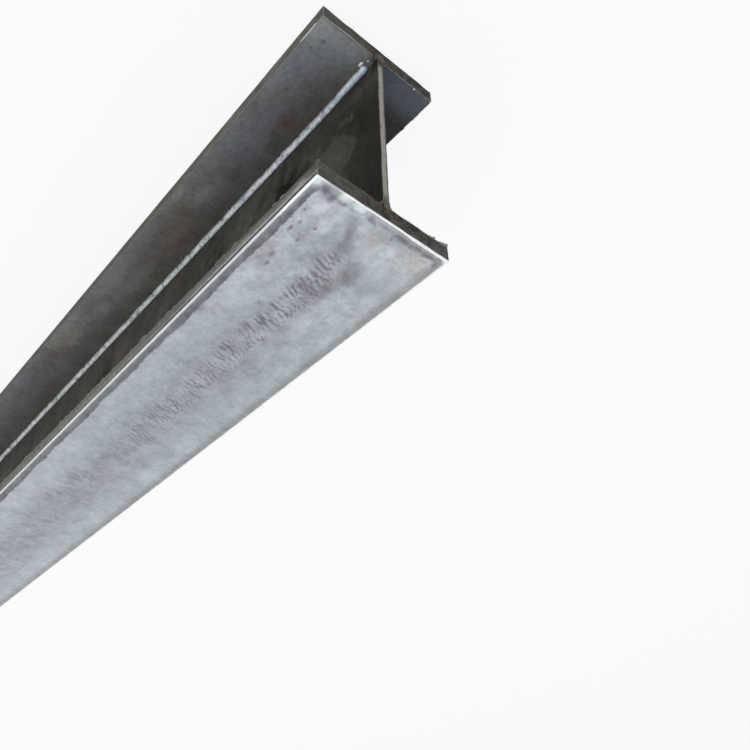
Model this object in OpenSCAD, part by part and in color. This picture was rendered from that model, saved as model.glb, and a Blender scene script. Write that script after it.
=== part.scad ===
// Welded H-beam: a web plate between two flange plates, joined by a fillet weld along each inner corner.
// The beam stands on its lower flange: X runs along it, Y across the flanges and Z up.
// The origin is the middle of the lower flange's underside.

/* [Section] */
// Depth of the beam over both flanges
beam_depth = 350; // [200:5:600]
// Width of each flange plate
flange_w = 200; // [120:5:400]
// Thickness of each flange plate
flange_t = 24; // [10:1:40]
// Thickness of the web plate
web_t = 10; // [5:1:20]
// Rounding of the flange plates' long edges
flange_edge_r = 1.5; // [0.5:0.5:4]

/* [Length] */
// Length that the beam is cut to
beam_len = 6000; // [1000:100:12000]

/* [Welds] */
// Leg of each fillet weld, along the web and along the flange
weld_leg = 8; // [3:0.5:10]
// Rise of the bead's rounded face over the straight line between its toes
weld_crown = 1.5; // [0.3:0.1:2]
// Bare corner between each end of the beam and the end of a bead
weld_setback = 18; // [5:1:60]
// Radius of a bead's rounded end, seen square to its face
weld_nose_r = 7.5; // [7.5:0.5:15]

/* [Hidden] */
$fn = 96;

web_h = beam_depth - 2 * flange_t;
weld_len = beam_len - 2 * weld_setback;
weld_chord = weld_leg * sqrt(2);
weld_face_r = (pow(weld_chord / 2, 2) + pow(weld_crown, 2)) / (2 * weld_crown);
weld_face_centre = weld_leg / 2 - (weld_face_r - weld_crown) / sqrt(2);

plate_colour = "dimgray";
weld_colour = "lightsteelblue";

// Sets a section drawn in X and Y upright across the beam and runs it along X, centred on the origin
module along_beam(length) {
    rotate([90, 0, 90])
        linear_extrude(length, center = true)
            children();
}

// Section of a flange plate standing on the X axis, with its long edges rounded
module flange_section() {
    flat_w = flange_w - 2 * flange_edge_r;
    flat_t = flange_t - 2 * flange_edge_r;
    translate([-flat_w / 2, 0])
        square([flat_w, flange_t]);
    translate([-flange_w / 2, flange_edge_r])
        square([flange_w, flat_t]);
    for (side = [-1, 1], level = [flange_edge_r, flange_t - flange_edge_r])
        translate([side * flat_w / 2, level])
            circle(flange_edge_r);
}

module flange_plate() {
    color(plate_colour)
        along_beam(beam_len)
            flange_section();
}

// Section of a fillet weld with its root at the origin: two flat legs and one crowned face
module weld_section() {
    intersection() {
        square(weld_leg);
        translate([weld_face_centre, weld_face_centre])
            circle(weld_face_r);
    }
}

// Room that a bead may fill along the beam, rounded at both ends about axes square to its face
module weld_reach() {
    straight_len = weld_len - 2 * weld_nose_r;
    depth = 4 * weld_leg;
    rotate([-45, 0, 0]) {
        cube([straight_len, 2 * weld_nose_r, depth], center = true);
        for (end = [-1, 1])
            translate([end * straight_len / 2, 0, 0])
                cylinder(r = weld_nose_r, h = depth, center = true);
    }
}

// One bead in the corner that faces +Y and +Z
module weld_bead() {
    intersection() {
        along_beam(weld_len)
            weld_section();
        weld_reach();
    }
}

// A bead on one side of the web (left is +Y) and on the lower or the upper flange
module weld(left, upper) {
    color(weld_colour)
        translate([0, left ? web_t / 2 : -web_t / 2, upper ? beam_depth - flange_t : flange_t])
            mirror([0, left ? 0 : 1, 0])
                mirror([0, 0, upper ? 1 : 0])
                    weld_bead();
}

module bottom_flange() {
    flange_plate();
}

module top_flange() {
    translate([0, 0, beam_depth - flange_t])
        flange_plate();
}

module web_plate() {
    color(plate_colour)
        translate([-beam_len / 2, -web_t / 2, flange_t])
            cube([beam_len, web_t, web_h]);
}

bottom_flange();
top_flange();
web_plate();
weld(left = true, upper = false);  // weld_bottom_left
weld(left = false, upper = false);  // weld_bottom_right
weld(left = true, upper = true);  // weld_top_left
weld(left = false, upper = true);  // weld_top_right
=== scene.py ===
import math
import random

import bmesh
import bpy
from mathutils import Matrix, Vector, noise


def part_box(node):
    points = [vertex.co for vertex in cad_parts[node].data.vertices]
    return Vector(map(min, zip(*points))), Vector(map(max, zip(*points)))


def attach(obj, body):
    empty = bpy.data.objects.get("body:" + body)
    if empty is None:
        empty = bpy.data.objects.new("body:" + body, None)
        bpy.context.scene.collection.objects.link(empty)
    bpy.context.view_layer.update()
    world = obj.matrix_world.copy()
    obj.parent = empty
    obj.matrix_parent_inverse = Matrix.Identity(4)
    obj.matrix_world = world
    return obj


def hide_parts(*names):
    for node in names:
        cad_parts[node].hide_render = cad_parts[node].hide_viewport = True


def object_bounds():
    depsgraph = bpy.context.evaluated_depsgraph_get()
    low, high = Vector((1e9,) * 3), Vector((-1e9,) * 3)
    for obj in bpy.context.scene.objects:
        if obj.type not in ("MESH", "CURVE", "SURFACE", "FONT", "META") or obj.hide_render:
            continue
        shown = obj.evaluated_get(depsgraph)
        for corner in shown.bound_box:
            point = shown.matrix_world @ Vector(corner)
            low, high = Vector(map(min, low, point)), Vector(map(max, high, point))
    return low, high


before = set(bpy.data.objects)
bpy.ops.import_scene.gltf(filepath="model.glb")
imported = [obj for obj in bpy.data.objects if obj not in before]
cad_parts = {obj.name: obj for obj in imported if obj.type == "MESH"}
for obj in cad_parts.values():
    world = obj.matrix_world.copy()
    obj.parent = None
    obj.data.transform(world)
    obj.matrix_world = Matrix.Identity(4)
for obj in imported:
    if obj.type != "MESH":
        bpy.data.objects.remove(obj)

bl_info = {
    "name": "Welded H-beam",
    "version": (1, 0, 0),
    "blender": (4, 5, 0),
    "location": "View3D > Sidebar > H-beam",
    "description": "Dresses the plates and weld beads of a steel H-beam and sets its stage",
    "category": "Add Mesh",
}

# Sizes read from the frame, in metres
CAD_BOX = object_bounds()
HALF_LENGTH = CAD_BOX[1].x
HALF_WIDTH = CAD_BOX[1].y
DEPTH = CAD_BOX[1].z
FLANGE_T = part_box("bottom_flange")[1].z
UPPER_INNER = DEPTH - FLANGE_T
HALF_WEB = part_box("web_plate")[1].y
BEAD_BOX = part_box("weld_bottom_left")
BEAD_LEG = BEAD_BOX[1].z - BEAD_BOX[0].z
BEAD_HALF_LENGTH = BEAD_BOX[1].x
NEAR_END = -HALF_LENGTH
MM = 0.001

PLATE_SLOT = "mill_scale_steel"
WELD_SLOT = "weld_metal"
WHITE = (1.0, 1.0, 1.0, 1.0)


def screen_colour(*levels):
    """Linear colour of a screen colour given as three levels from 0 to 255, all above the sRGB toe."""
    return tuple(((level / 255 + 0.055) / 1.055) ** 2.4 for level in levels)


def colour(name, description, *levels):
    """A colour that a user may change, given by its screen levels."""
    return bpy.props.FloatVectorProperty(
        name=name, description=description, subtype="COLOR", size=3, min=0.0, max=1.0,
        default=screen_colour(*levels),
    )


def length(name, description, millimetres):
    """A length that a user may change, given in millimetres."""
    return bpy.props.FloatProperty(
        name=name, description=description, unit="LENGTH", precision=5, default=millimetres * MM,
    )


class HBeamSizes(bpy.types.PropertyGroup):
    """Sizes of the wear and the weld relief."""

    arris: length("Worn arris", "Rounding of the upper flange's outer edges", 1.5)
    sharp_arris: length("Sharp arris", "Rounding of the other flange edges", 0.8)
    web_arris: length("Web arris", "Rounding of the web plate's edges", 0.8)
    arris_wander: length("Arris wander", "How far a worn long edge strays from straight", 0.4)
    cut_wander: length("Cut wander", "How far a cut end strays from flat", 0.6)
    dross: length("Dross", "Hang of the burr under a cut end", 1.6)
    burr: length("Burr", "Burr left at one corner of the upper flange", 4.5)
    chip: length("Chipped corner", "Size of the corner knocked off the lower flange", 2.5)
    ripple_pitch: length("Ripple pitch", "Distance from one weld ripple to the next", 6.0)
    ripple_height: length("Ripple height", "Depth of the groove between two weld ripples", 0.5)
    bead_crown: length("Bead crown", "Rise of a bead's face over the line between its toes", 1.3)
    bead_wander: length("Bead wander", "How far a bead's toes stray from straight", 0.8)
    bead_scallop: length("Bead scallop", "Depth of the dents along a bead's toe on the flange", 2.4)
    bead_reach: length("Bead reach", "How much further a bead reaches up the web than out on the flange", 1.2)
    bead_swell: length("Bead swell", "How much wider a bead is on the flange where it starts", 2.2)
    bead_smooth: length("Smooth start", "Length over which the ripples grow from a bead's end", 70.0)
    bead_nose: length("Bead nose", "Length over which a bead tapers at its ends", 8.0)


class HBeamColours(bpy.types.PropertyGroup):
    """Colours of the bare steel, its mill scale and its rust."""

    outer_pale: colour("Outer face, pale", "Scuffed mill scale on the outer faces", 188, 195, 202)
    outer_shade: colour("Outer face, shade", "Darker clouds on the outer faces", 150, 156, 166)
    outer_bright: colour("Outer face, bright", "Palest patches of the outer faces", 200, 206, 212)
    outer_cool: colour("Outer face, cool", "Blue-green patches on the outer faces", 160, 174, 180)
    outer_far: colour("Outer face, far", "Even scale of the outer faces away from the ends", 164, 172, 180)
    outer_warm: colour("Outer face, warm", "Warm patches on the outer faces", 177, 173, 171)
    outer_grime: colour("Outer face, grime", "Purple-grey grime on the outer faces", 140, 137, 147)
    margin_dark: colour("Frame, dark", "Inner side of the scale left along the outer edges", 90, 91, 99)
    margin_light: colour("Frame, light", "Outer side of the scale left along the outer edges", 142, 144, 150)
    margin_grey: colour("Frame, grey", "Scale left along the outer edges away from the ends", 104, 106, 111)
    margin_olive: colour("Frame, olive", "Dull margin on the beam's left side", 132, 133, 130)
    stain: colour("Stain", "Grey stains on the outer faces", 110, 110, 114)
    smudge: colour("Smudge", "Dark smudges on the outer faces", 98, 95, 103)
    rubbed: colour("Rubbed steel", "Bright patches rubbed at the corners", 222, 235, 236)
    # Also the painted shade in the corner beside the web.
    inner_dark: colour("Inner face, dark", "Mill scale beside the welds", 92, 89, 84)
    # Pale scale in patches, and painted light on the right side by the ends.
    inner_pale_and_painted_light: colour("Inner face, light", "Mill scale near the ends and edges", 157, 166, 169)
    inner_blue: colour("Inner face, blue", "Blue-grey mill scale", 126, 129, 139)
    inner_brown: colour("Inner face, brown", "Brown mill scale", 117, 112, 106)
    inner_red: colour("Inner face, red", "Reddish patches of the mill scale", 108, 82, 82)
    inner_olive: colour("Inner face, olive", "Olive patches of the mill scale", 88, 88, 74)
    inner_tan: colour("Inner face, tan", "Light tan patches of the mill scale", 152, 149, 142)
    # Painted shade laid on the inner face's left side by the near end.
    inner_painted_shade: colour("Inner face, slate", "Dark slate tint on the shaded side", 70, 78, 92)
    web_dark: colour("Web, dark", "Mill scale of the web", 59, 59, 55)
    web_light: colour("Web, light", "Smudges on the web", 91, 90, 84)
    edge_mid: colour("Cut edge", "Cut long edges of the flanges", 108, 106, 100)
    edge_light: colour("Cut edge, light", "Light drag streaks of the cut edges", 172, 170, 166)
    edge_dark: colour("Cut edge, dark", "Dark line beside the worn arris", 62, 62, 64)
    edge_olive: colour("Cut edge, olive", "Inner side of the cut edges", 92, 90, 82)
    edge_brown: colour("Cut edge, brown", "Cut long edges of the lower flange", 66, 64, 59)
    edge_tan: colour("Cut edge, tan", "Lighter patches of the lower flange's edges", 98, 92, 85)
    end_dark: colour("Cut end", "Burnt ends of the flanges", 42, 41, 36)
    end_light: colour("Cut end, light", "Rubbed patches of the ends", 91, 90, 83)
    end_blue: colour("Cut end, blue", "Bluish end of the upper flange by its burr", 100, 104, 110)
    web_end: colour("Web end", "Pale cut end of the web", 156, 152, 144)
    rust: colour("Rust", "Rust bloom", 104, 76, 52)
    # Rubbed steel, and a painted highlight along the upper flange's outer edges.
    arris: colour("Worn arris", "Steel rubbed bright along the outer edges", 240, 243, 244)
    arris_far: colour("Worn arris, far", "Bright edges away from the ends", 202, 205, 209)
    arris_dull: colour("Dull arris", "Edges that are only partly rubbed", 126, 122, 113)
    bead: colour("Weld bead", "Bright weld metal", 224, 233, 241)
    # Dark flecks and grooves of the bead, and also its painted shade towards the web.
    bead_shade: colour("Weld bead, shade", "Grooves between the weld ripples", 96, 100, 108)
    bead_green: colour("Weld bead, green", "Greenish tint of the weld metal", 188, 208, 212)
    bead_cream: colour("Weld bead, cream", "Warmer weld metal away from the ends", 222, 225, 216)
    bead_violet: colour("Weld bead, violet", "Violet tint of the weld metal", 188, 195, 212)
    # Blue heat tint at the web toes, and painted shade on a bead's side towards the web.
    bead_heat_tint_and_shade: colour("Weld bead, heat tint", "Blue heat tint at the toe on the web", 52, 64, 84)
    # Painted shade of a bead's smooth start.
    bead_start_painted_shade: colour("Weld bead, steel blue", "Blue shade of a bead's smooth start", 82, 102, 126)
    # Black of burnt slag; also laid as painted shade on the web by the ends and on the inner face's left side
    # by the near end.
    slag: colour("Slag", "Burnt slag beside the weld ends", 30, 27, 24)
    slag_brown: colour("Slag, brown", "Brown slag at the web's foot", 88, 79, 73)
    slag_olive: colour("Slag, olive", "Olive slag under the upper flange", 98, 100, 76)
    spatter: colour("Spatter", "Weld spatter", 236, 236, 230)


class HBeamStage(bpy.types.PropertyGroup):
    """Floor, lamps and camera."""

    floor_size: bpy.props.FloatProperty(
        name="Floor size", description="Side of the square floor", unit="LENGTH", default=60.0,
    )
    lamp_energy: bpy.props.FloatProperty(
        name="Lamp power", description="Power of the soft lamp over the beam, in watts", default=94.0,
    )
    sky_strength: bpy.props.FloatProperty(
        name="Sky strength", description="Brightness of the even light all round", default=0.55,
    )
    focal_length: bpy.props.FloatProperty(
        name="Focal length", description="Focal length on a 36 mm sensor, in millimetres", default=37.488,
    )
    camera_place: bpy.props.FloatVectorProperty(
        name="Camera place", description="Camera's place from the near end of the beam",
        subtype="TRANSLATION", unit="LENGTH", size=3, default=(-0.4292, -0.4136, 1.0185),
    )
    camera_aim: bpy.props.FloatVectorProperty(
        name="Camera aim", description="Point that the camera looks at, from the near end",
        subtype="TRANSLATION", unit="LENGTH", size=3, default=(0.22415, 0.17841, 0.35),
    )
    camera_roll: bpy.props.FloatProperty(
        name="Camera roll", description="Turn of the picture about the line of sight", subtype="ANGLE",
        default=math.radians(178.474),
    )


class Value:
    """What a node gives: it is reckoned with like a number, or painted over like a colour."""

    def __init__(self, graph, socket):
        self.graph = graph
        self.socket = socket

    def __add__(self, other):
        return self.graph.math("ADD", self, other)

    def __radd__(self, other):
        return self.graph.math("ADD", other, self)

    def __sub__(self, other):
        return self.graph.math("SUBTRACT", self, other)

    def __rsub__(self, other):
        return self.graph.math("SUBTRACT", other, self)

    def __mul__(self, other):
        return self.graph.math("MULTIPLY", self, other)

    def __abs__(self):
        return self.graph.math("ABSOLUTE", self)

    def step(self, start, end):
        """Rises smoothly from 0 at start to 1 at end, or falls where end is below start."""
        inputs = {"Value": self, "From Min": start, "From Max": end}
        return self.graph.get("Result", "ShaderNodeMapRange", inputs, interpolation_type="SMOOTHSTEP")

    def noise(self, scale, detail=4.0, roughness=0.55, distortion=0.0):
        """Noise from 0 to 1 at these coordinates."""
        inputs = {"Vector": self, "Scale": scale, "Detail": detail}
        inputs.update({"Roughness": roughness, "Distortion": distortion})
        return self.graph.get("Fac", "ShaderNodeTexNoise", inputs)

    def swing(self, scale, detail=4.0, roughness=0.6):
        """Noise about zero, from about -1 to 1."""
        return (self.noise(scale, detail, roughness) - 0.5) * 2.0

    def stretch(self, scale, shift=(0.0, 0.0, 0.0)):
        """Coordinates moved and then stretched along each axis."""
        inputs = {"Vector": self, "Location": shift, "Scale": scale}
        return self.graph.get("Vector", "ShaderNodeMapping", inputs)

    def drawn_out(self, turn, times):
        """Coordinates in which a pattern is drawn out along an X axis that is turned."""
        inputs = {"Vector": self, "Rotation": turn, "Scale": (times, 1.0, 1.0)}
        return self.graph.get("Vector", "ShaderNodeMapping", inputs, vector_type="TEXTURE")

    def dim(self, level):
        """The colour times a plain value: darker below 1 and lighter above."""
        return self.graph.mix(1.0, self, level, "MULTIPLY")

    def lay(self, over, share, *shares):
        """Lays a colour over this one, as strongly as the shares multiplied together."""
        for more in shares:
            share = share * more
        return self.graph.mix(share, self, over)

    def daub(self, axes, fray, *rows):
        """Lays ragged spots over this colour, each row with their colour, places, softness and strength."""
        tone = self
        for over, wanted, softness, strength in rows:
            tone = tone.lay(over, spots(axes, wanted, softness, fray), strength)
        return tone

    def strew(self, over, effect, where, scale, amount, *shares):
        """Lays a colour over this one by the mask of a shared effect, as strongly as the shares say."""
        made = self.graph.effect(effect, {"Vector": where, "Scale": scale, "Amount": amount})
        return self.lay(over, made["Mask"], *shares)

    def wear(self, where, scale, amount):
        """The colour made uneven by wear, and the grain of the wear."""
        inputs = {"Color": self, "Vector": where, "Scale": scale, "Amount": amount}
        made = self.graph.effect("Worn grain", inputs)
        return made["Color"], made["Grain"]


class Graph:
    """A node tree being wired."""

    def __init__(self, tree):
        self.tree = tree

    def feed(self, socket, value):
        """Links a value to the input, or sets the input to a plain number or colour."""
        if isinstance(value, Value):
            self.tree.links.new(value.socket, socket)
        elif socket.type == "RGBA" and len(value) == 3:
            socket.default_value = (*value, 1.0)
        else:
            socket.default_value = value

    def add(self, kind, inputs=None, **settings):
        """Adds a node with its settings and inputs and returns the node itself."""
        node = self.tree.nodes.new(kind)
        for key, value in settings.items():
            setattr(node, key, value)
        for key, value in (inputs or {}).items():
            self.feed(node.inputs[key], value)
        return node

    def get(self, output, kind, inputs=None, **settings):
        """Adds a node and returns what one of its outputs gives."""
        return Value(self, self.add(kind, inputs, **settings).outputs[output])

    def math(self, operation, *values):
        return self.get(0, "ShaderNodeMath", dict(enumerate(values)), operation=operation)

    def ramp(self, value, *bands):
        """Colours in bands along a value, each given by the place where it stands."""
        node = self.add("ShaderNodeValToRGB", {"Fac": value})
        elements = node.color_ramp.elements
        while len(elements) < len(bands):
            elements.new(1.0)
        for element, (place, tone) in zip(elements, bands):
            element.position = place
            element.color = (*tone, 1.0)
        return Value(self, node.outputs["Color"])

    def mix(self, share, first, second, blend="MIX"):
        """Blends two colours."""
        inputs = {0: share, 6: first, 7: second}
        return self.get(2, "ShaderNodeMix", inputs, data_type="RGBA", blend_type=blend)

    def effect(self, name, inputs):
        """Places a shared effect, made when it is first wanted, and returns what it gives, by name."""
        if name not in bpy.data.node_groups:
            share_effect(name, *EFFECTS[name])
        node = self.add("ShaderNodeGroup", node_tree=bpy.data.node_groups[name])
        for key, value in inputs.items():
            self.feed(node.inputs[key], value)
        return {socket.name: Value(self, socket) for socket in node.outputs}


class Coat(Graph):
    """The node tree of a new material, with the shader that it feeds."""

    def __init__(self, name):
        self.material = bpy.data.materials.new(name)
        self.material.use_nodes = True
        super().__init__(self.material.node_tree)
        self.shader = self.tree.nodes["Principled BSDF"].inputs

    def look(self, roughness, metallic, gloss=0.5):
        """Sets the plain values of the shader."""
        self.shader["Roughness"].default_value = roughness
        self.shader["Metallic"].default_value = metallic
        self.shader["Specular IOR Level"].default_value = gloss

    def dress(self, tone, relief=None, depth=0.0):
        """Gives the shader its colour and a relief of that depth, in metres, from a value between 0 and 1."""
        self.feed(self.shader["Base Color"], tone)
        if relief is not None:
            inputs = {"Height": relief, "Strength": 1.0, "Distance": depth}
            self.feed(self.shader["Normal"], self.get("Normal", "ShaderNodeBump", inputs))


def scale_cloud(where, scale, dark, light, tint):
    """Mill scale: soft clouds between a dark and a light tone, with patches of a tint."""
    broad = where.noise(scale * 0.35, 3.0, 0.5, 0.5)
    fine = where.noise(scale, 8.0, 0.68, 0.25)
    mottle = where.noise(scale * 5.0, 4.0, 0.7)
    level = (broad * 0.5 + fine * 0.36 + mottle * 0.14).step(0.4, 0.6)
    moved = where.stretch((1.0, 1.0, 1.0), (0.37, 0.71, 0.19))
    patch = moved.noise(scale * 0.55, 6.0, 0.62, 0.4)
    tone = where.graph.mix(level, dark, light)
    return tone.lay(tint, patch.step(0.48, 0.68), 0.8), level


def specks(where, scale, amount):
    """Small specks, thicker in some places than in others."""
    grain = where.noise(scale, 2.0, 0.5)
    crowd = where.noise(scale * 0.12, 3.0, 0.6)
    level = grain + (crowd - 0.5) * 0.35
    return ((level - (0.84 - amount * 0.3)).step(0.0, 0.06),)


def streaks(where, scale, amount):
    """Fine streaks drawn out along the beam."""
    lines = where.stretch((0.045, 1.0, 1.0)).noise(scale, 5.0, 0.62, 0.2)
    return ((lines - (0.74 - amount * 0.3)).step(0.0, 0.12),)


def rust_bloom(where, scale, amount):
    """Ragged blooms of rust: where they lie and how strong they are."""
    patch = where.noise(scale, 8.0, 0.68, 0.5)
    return ((patch - (0.8 - amount * 0.4)).step(0.0, 0.14),)


def scratches(where, scale, amount):
    """Hairline scratches in two slanted directions, in patches."""
    lines = 0.0
    for turn in ((0.4, 0.9, 0.7), (-0.5, -0.8, -0.4)):
        ridge = abs(where.drawn_out(turn, 14.0).swing(scale, 1.0, 0.4))
        lines = where.graph.math("MAXIMUM", lines, ridge.step(0.035, 0.0))
    patch = where.noise(scale * 0.2, 3.0, 0.6)
    return (lines * (patch + amount * 0.3).step(0.6, 0.75),)


def worn_grain(tone, where, scale, amount):
    """Uneven wear: makes a colour a little darker and lighter from place to place."""
    fine = where.swing(scale, 5.0, 0.72)
    broad = where.swing(scale * 0.24, 4.0, 0.62)
    return tone.dim(1.0 + (fine * 0.8 + broad * 0.7) * amount), fine


SOCKET_KINDS = {
    "Vector": "NodeSocketVector", "Color": "NodeSocketColor", "Dark": "NodeSocketColor",
    "Light": "NodeSocketColor", "Tint": "NodeSocketColor",
}
PLAIN_SOCKET = "NodeSocketFloat"
MASK_INPUTS = ("Vector", "Scale", "Amount")
# Shared effects: the function that makes each, its inputs and its outputs
EFFECTS = {
    "Mill scale cloud": (scale_cloud, ("Vector", "Scale", "Dark", "Light", "Tint"), ("Color", "Cloud")),
    "Specks": (specks, MASK_INPUTS, ("Mask",)),
    "Streaks": (streaks, MASK_INPUTS, ("Mask",)),
    "Rust bloom": (rust_bloom, MASK_INPUTS, ("Mask",)),
    "Worn grain": (worn_grain, ("Color", *MASK_INPUTS), ("Color", "Grain")),
    "Scratches": (scratches, MASK_INPUTS, ("Mask",)),
}


def share_effect(name, make, inputs, outputs):
    """Makes a shared shader effect from a function of its inputs that returns its outputs."""
    tree = bpy.data.node_groups.new(name, "ShaderNodeTree")
    for direction, sockets in (("INPUT", inputs), ("OUTPUT", outputs)):
        for socket in sockets:
            kind = SOCKET_KINDS.get(socket, PLAIN_SOCKET)
            tree.interface.new_socket(socket, in_out=direction, socket_type=kind)
    graph = Graph(tree)
    entry = graph.add("NodeGroupInput")
    leave = graph.add("NodeGroupOutput")
    results = make(*(Value(graph, entry.outputs[key]) for key in inputs))
    for key, result in zip(outputs, results):
        graph.feed(leave.inputs[key], result)


class Place:
    """Where a point of a piece lies: its axes and its distances from the beam's edges."""

    def __init__(self, graph):
        self.at = graph.get("Object", "ShaderNodeTexCoord")
        axes = graph.add("ShaderNodeSeparateXYZ", {"Vector": self.at}).outputs
        self.x, self.y, self.z = (Value(graph, axis) for axis in axes)
        self.from_near_end = self.x - NEAR_END
        self.from_end = HALF_LENGTH - abs(self.x)
        self.from_web = abs(self.y)
        self.from_edge = HALF_WIDTH - self.from_web
        self.from_outside = graph.math("MINIMUM", self.z, DEPTH - self.z)
        self.right_side = self.y.step(0.01, -0.01)
        self.left_side = 1.0 - self.right_side
        self.lower = self.z.step(FLANGE_T * 2.0, FLANGE_T * 1.5)
        self.upper = 1.0 - self.lower
        self.on_flange = (self.from_near_end, self.y)
        self.on_edge = (self.from_near_end, self.from_outside)
        self.on_web = (self.from_near_end, self.z)
        self.on_end = (self.y, self.z)


def spots(axes, wanted, softness, fray):
    """Mask of ragged spots, each given by its place on two axes and by two radii, in millimetres."""
    graph = axes[0].graph
    mask = 0.0
    for first, second, half_first, half_second in wanted:
        a = (axes[0] - first * MM) * (1.0 / (half_first * MM))
        b = (axes[1] - second * MM) * (1.0 / (half_second * MM))
        reach = graph.math("SQRT", a * a + b * b) + fray
        mask = graph.math("MAXIMUM", mask, reach.step(1.0, softness))
    return mask


def clouds(where, scale, dark, light, tint):
    """Mill scale in clouds of three tones: its colour and its clouds."""
    inputs = {"Vector": where, "Scale": scale, "Dark": dark, "Light": light, "Tint": tint}
    made = where.graph.effect("Mill scale cloud", inputs)
    return made["Color"], made["Cloud"]


# Marks on the outer face, in millimetres: from the near end, across, half length, half width
BRIGHT_RUBS = ((4, -97, 15, 10), (3, -57, 11, 14), (5, -34, 15, 17), (3, 96, 7, 7))
PALE_PATCHES = (
    (58, 46, 36, 26), (30, -68, 22, 18), (48, -48, 26, 14), (185, -72, 46, 18), (36, 38, 18, 14),
)
SHADE_PATCHES = ((92, 62, 60, 60),)
WARM_PATCHES = ((26, 68, 34, 34), (32, 6, 30, 20), (118, -84, 34, 8), (32, 84, 26, 18))
GRIME_PATCHES = (
    (132, 15, 70, 24), (14, -74, 14, 22), (130, -76, 40, 20), (84, -60, 16, 12), (262, -84, 18, 12),
    (145, -72, 20, 12),
)
GREY_STAINS = (
    (98, 23, 30, 20), (140, -14, 16, 12), (126, 16, 30, 14), (142, 0, 24, 16), (318, -91, 60, 9),
    (9, -20, 5, 16), (9, 6, 5, 20),
)
DARK_SMUDGES = (
    (10, -80, 9, 10), (16, -68, 9, 7), (12, -53, 7, 10), (13, -38, 5, 12), (18, 22, 5, 4), (9, 36, 4, 14),
    (9, 58, 4, 17), (10, 78, 4, 14), (15, 89, 10, 5), (46, -81, 3, 3), (64, -74, 6, 3), (78, -77, 7, 3),
    (61, -55, 4, 3), (88, -60, 5, 3), (126, -70, 9, 5), (140, -66, 8, 4), (146, -12, 8, 6),
)
# Where the bright rim is missing at the cut
RIM_GAPS = ((0, -75, 14, 20),)
# The stain that runs aslant by the near end, with its place across measured along its own slope
LONG_STAIN = ((42, -33, 42, 15), (62, -33, 24, 19))
STAIN_SLOPE = 0.33
# Heat strokes over the web: their pitch and slant, and the middle, half width and start of their row
STROKE_PITCH = 0.0088
STROKE_SLANT = 0.36
STROKE_MIDDLE = -0.003
STROKE_HALF_BAND = 0.021
STROKE_START = 0.07


def heat_marks(graph, place):
    """Masks of the slanted strokes that the welding heat draws on an outer face, their grime and row."""
    strayed = place.y + place.at.swing(60.0, 2.0) * 0.014
    rows = strayed.step(-0.0042, -0.0034) + strayed.step(0.0108, 0.0116)
    slid = place.x - place.y * STROKE_SLANT
    turns = slid * (1.0 / STROKE_PITCH) + rows * 0.5 + place.at.swing(24.0, 3.0) * 1.1
    wave = graph.math("SINE", turns * math.tau)
    brush = place.at.drawn_out((0.0, 0.0, math.atan2(1.0, STROKE_SLANT)), 3.4)
    broken = brush.swing(92.0, 3.0) + place.at.swing(60.0, 3.0) * 0.7
    stroke = (wave * 0.36 + broken * 1.3).step(-0.12, 0.5)
    ragged = abs(place.y - STROKE_MIDDLE) + place.at.swing(36.0, 5.0) * 0.016
    begun = place.from_end.step(STROKE_START, STROKE_START * 1.2)
    fading = 1.0 - place.from_end.step(0.3, 0.75) * 0.62
    row = ragged.step(STROKE_HALF_BAND * 1.15, STROKE_HALF_BAND * 0.65) * begun * fading
    uneven = place.at.noise(26.0, 3.0, 0.6).step(0.28, 0.6)
    grime = ragged.step(STROKE_HALF_BAND * 1.9, STROKE_HALF_BAND * 0.6) * begun
    return stroke * row * (0.4 + uneven * 0.6), grime, row


def worn_frame(graph, place):
    """Masks of the scale left in a frame round an outer face: its place, its darkness and its rim."""
    fine = place.at.swing(130.0, 5.0, 0.72) * 0.0042
    teeth = place.at.swing(20.0, 4.0, 0.5) * 0.0056 + fine
    ragged = graph.math("SMOOTH_MIN", place.from_edge, place.from_end, 0.014) + teeth
    by_end = (place.from_edge - place.from_end).step(-0.01, 0.01)
    patchy = place.at.noise(34.0, 5.0, 0.64).step(0.4, 0.62)
    by_side = (patchy * 0.2 + 0.8) * place.right_side
    strength = by_side + by_end * (patchy * 0.7 - by_side)
    nibbled = fine * 0.3
    side_rim = (place.from_edge + nibbled).step(0.0043, 0.0016)
    wider = place.y.step(0.02, 0.045) * -0.0013
    end_rim = (place.from_end + nibbled + wider).step(0.0024, 0.0012)
    rim = graph.math("MAXIMUM", side_rim, end_rim)
    return ragged.step(0.0146, 0.013) * strength, ragged.step(0.0045, 0.0105), rim


def bright_steel_and_highlight(graph, place, colours):
    """Steel rubbed bright along an outer edge with a painted highlight, duller on the right side away from
    the ends.
    """
    dull = place.from_end.step(0.045, 0.085) * place.right_side
    return graph.mix(dull, colours.arris, colours.arris_far)


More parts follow.
